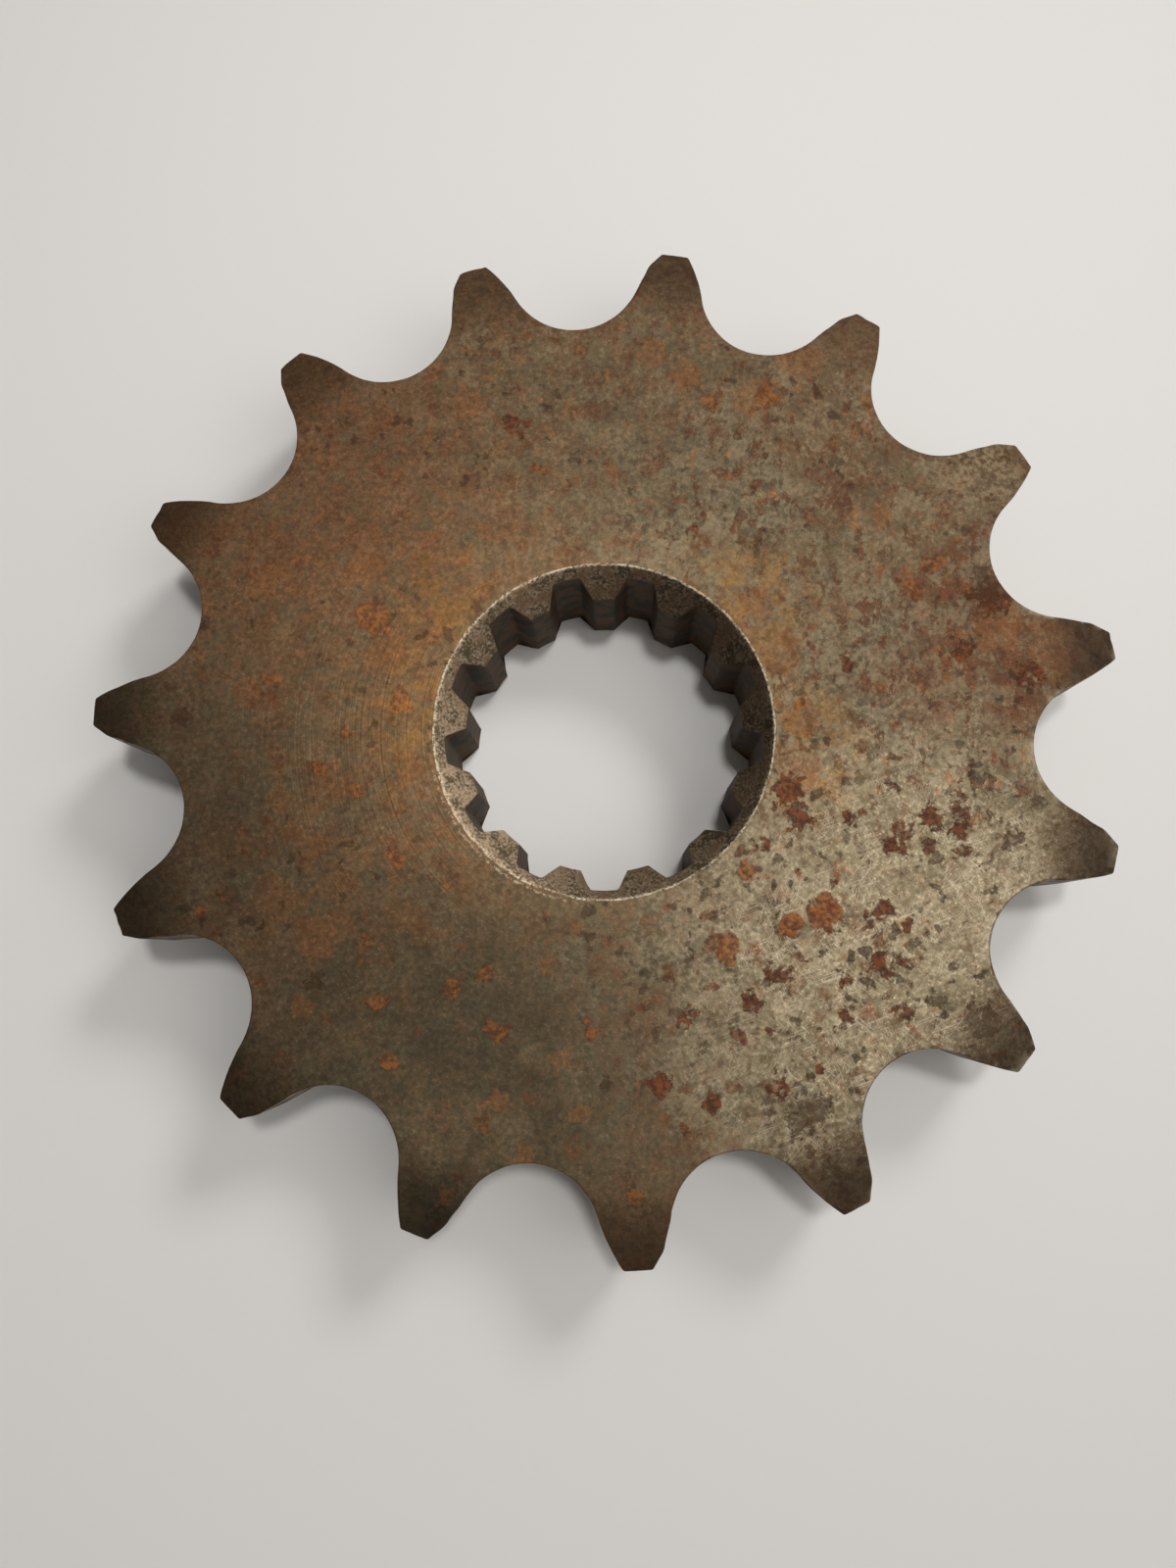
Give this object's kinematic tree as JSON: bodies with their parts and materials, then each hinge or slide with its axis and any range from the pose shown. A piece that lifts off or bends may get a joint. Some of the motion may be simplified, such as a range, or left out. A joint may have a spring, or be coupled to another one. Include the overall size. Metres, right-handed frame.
{
  "type": "front sprocket",
  "caption": "Flat steel chain sprocket with a splined, countersunk bore and a boss on its inner side, for a motorcycle's gearbox output shaft.",
  "frame": {"origin": "where the shaft's axis meets the boss's seating face, on the inner side", "axes": "+Z along the shaft's axis, out of the gearbox, from the boss to the flat outer face; +Y through the middle of one spline tooth"},
  "size_m": [0.0808, 0.0809, 0.012],
  "materials": {
    "worn_steel": "turned steel, brown with light rust and rubbed bright in places"
  },
  "bodies": {
    "root": {"sprocket": "worn_steel"}
  },
  "joints": []
}
